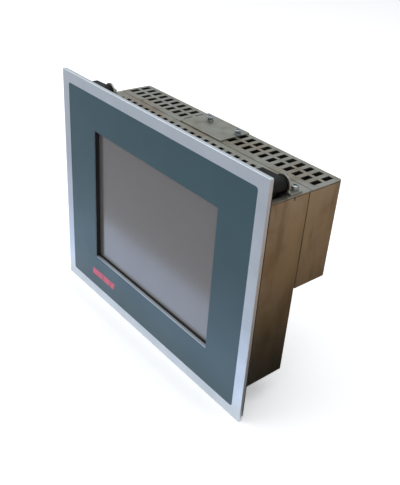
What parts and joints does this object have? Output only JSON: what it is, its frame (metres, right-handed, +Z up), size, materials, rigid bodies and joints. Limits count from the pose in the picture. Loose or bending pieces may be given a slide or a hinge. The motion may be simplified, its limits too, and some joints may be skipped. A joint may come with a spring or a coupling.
{
  "type": "hmi touch panel",
  "caption": "Built-in operator panel with a recessed touch window, a perforated sheet-metal computer housing and swing clamps for a cabinet cut-out.",
  "frame": {"origin": "centre of the cabinet cut-out, on the sheet's outer face where the gasket rests", "axes": "+X right as the operator sees the panel, +Y into the cabinet, +Z up"},
  "size_m": [0.346, 0.1152, 0.28],
  "materials": {
    "anodised_plate": "fine satin, clear anodised",
    "overlay_film": "matt printed film",
    "mark_print": "matt print",
    "gasket_rubber": "matt",
    "touch_glass": "semi-gloss film on glass",
    "polyimide": "satin",
    "display_frame": "satin",
    "display_cell": "semi-gloss",
    "backlight_case": "matt",
    "bright_zinc": "bright zinc plated",
    "clamp_screw_steel": "zinc plated",
    "passivated_sheet": "zinc-plated and olive-passivated sheet",
    "cover_sheet": "zinc-plated sheet",
    "brass": "bright",
    "label": "matt film",
    "circuit_board": "solder-masked laminate",
    "heat_sink": "mill finish",
    "black_plastic": "moulded",
    "drive_case": "satin",
    "cable_film": "satin",
    "terminal_green": "moulded",
    "connector_shell": "tin plated",
    "connector_white": "moulded",
    "bracket_zinc": "zinc plated",
    "lever_black": "matt black finish on cast zinc",
    "pad_nylon": "moulded"
  },
  "bodies": {
    "panel": {"front_plate": "anodised_plate", "front_overlay": "overlay_film", "front_mark": "mark_print", "panel_gasket": "gasket_rubber", "window_seal": "gasket_rubber", "touch_glass": "touch_glass", "touch_tail": "polyimide", "lcd_frame": "display_frame", "lcd_panel": "display_cell", "backlight_unit": "backlight_case", "lcd_brackets": "display_frame", "front_studs": "bright_zinc", "stud_nuts": "bright_zinc", "tray_shell": "passivated_sheet", "rear_box": "passivated_sheet", "io_plate": "cover_sheet", "top_cover_plate": "cover_sheet", "cover_screws": "bright_zinc", "bracket_screws": "bright_zinc", "housing_screws": "bright_zinc", "seam_rivets": "bright_zinc", "earth_stud": "brass", "rating_label": "label", "mainboard": "circuit_board", "power_board": "circuit_board", "inverter_board": "circuit_board", "board_standoffs": "brass", "board_screws": "bright_zinc", "cpu_heat_sink": "heat_sink", "memory_module": "circuit_board", "card_socket": "black_plastic", "memory_card": "black_plastic", "disk_drive": "drive_case", "drive_bracket": "display_frame", "display_cable": "cable_film", "power_inlet": "terminal_green", "ethernet_ports": "connector_shell", "usb_ports": "connector_shell", "dvi_port": "connector_white", "serial_port": "connector_shell", "clamp_pins": "bright_zinc", "clamp_bracket_tl": "bracket_zinc", "clamp_bracket_tr": "bracket_zinc", "clamp_bracket_bl": "bracket_zinc", "clamp_bracket_br": "bracket_zinc"},
    "lever_tl": {"clamp_lever_tl": "lever_black"},
    "pad_tl": {"clamp_pad_tl": "pad_nylon"},
    "screw_tl": {"clamp_screw_tl": "clamp_screw_steel"},
    "lever_tr": {"clamp_lever_tr": "lever_black"},
    "pad_tr": {"clamp_pad_tr": "pad_nylon"},
    "screw_tr": {"clamp_screw_tr": "clamp_screw_steel"},
    "lever_bl": {"clamp_lever_bl": "lever_black"},
    "pad_bl": {"clamp_pad_bl": "pad_nylon"},
    "screw_bl": {"clamp_screw_bl": "clamp_screw_steel"},
    "lever_br": {"clamp_lever_br": "lever_black"},
    "pad_br": {"clamp_pad_br": "pad_nylon"},
    "screw_br": {"clamp_screw_br": "clamp_screw_steel"}
  },
  "joints": [
    {"name": "lever_swing_tl", "type": "hinge", "parent": "panel", "child": "lever_tl", "pos_m": [-0.144, 0.0385, 0.113], "axis": [0, 1, 0], "range_deg": [0, 180]},
    {"name": "screw_feed_tl", "type": "slide", "parent": "lever_tl", "child": "pad_tl", "axis": [0, -1, 0], "range_m": [0, 0.01]},
    {"name": "screw_turn_tl", "type": "hinge", "parent": "pad_tl", "child": "screw_tl", "pos_m": [-0.1685, 0.013, 0.113], "axis": [0, -1, 0], "range_deg": [0, 4500]},
    {"name": "lever_swing_tr", "type": "hinge", "parent": "panel", "child": "lever_tr", "pos_m": [0.144, 0.0385, 0.113], "axis": [0, 1, 0], "range_deg": [0, 180]},
    {"name": "screw_feed_tr", "type": "slide", "parent": "lever_tr", "child": "pad_tr", "axis": [0, -1, 0], "range_m": [0, 0.01]},
    {"name": "screw_turn_tr", "type": "hinge", "parent": "pad_tr", "child": "screw_tr", "pos_m": [0.1195, 0.013, 0.113], "axis": [0, -1, 0], "range_deg": [0, 4500]},
    {"name": "lever_swing_bl", "type": "hinge", "parent": "panel", "child": "lever_bl", "pos_m": [-0.134, 0.0385, -0.1185], "axis": [0, 1, 0], "range_deg": [0, 180]},
    {"name": "screw_feed_bl", "type": "slide", "parent": "lever_bl", "child": "pad_bl", "axis": [0, -1, 0], "range_m": [0, 0.01]},
    {"name": "screw_turn_bl", "type": "hinge", "parent": "pad_bl", "child": "screw_bl", "pos_m": [-0.1095, 0.013, -0.1185], "axis": [0, -1, 0], "range_deg": [0, 4500]},
    {"name": "lever_swing_br", "type": "hinge", "parent": "panel", "child": "lever_br", "pos_m": [0.134, 0.0385, -0.1185], "axis": [0, -1, 0], "range_deg": [0, 180]},
    {"name": "screw_feed_br", "type": "slide", "parent": "lever_br", "child": "pad_br", "axis": [0, -1, 0], "range_m": [0, 0.01]},
    {"name": "screw_turn_br", "type": "hinge", "parent": "pad_br", "child": "screw_br", "pos_m": [0.1095, 0.013, -0.1185], "axis": [0, -1, 0], "range_deg": [0, 4500]}
  ],
  "couplings": [
    {"joint": "screw_turn_tl", "follows": "screw_feed_tl", "rad_per_m": 7854},
    {"joint": "screw_turn_tr", "follows": "screw_feed_tr", "rad_per_m": 7854},
    {"joint": "screw_turn_bl", "follows": "screw_feed_bl", "rad_per_m": 7854},
    {"joint": "screw_turn_br", "follows": "screw_feed_br", "rad_per_m": 7854}
  ]
}
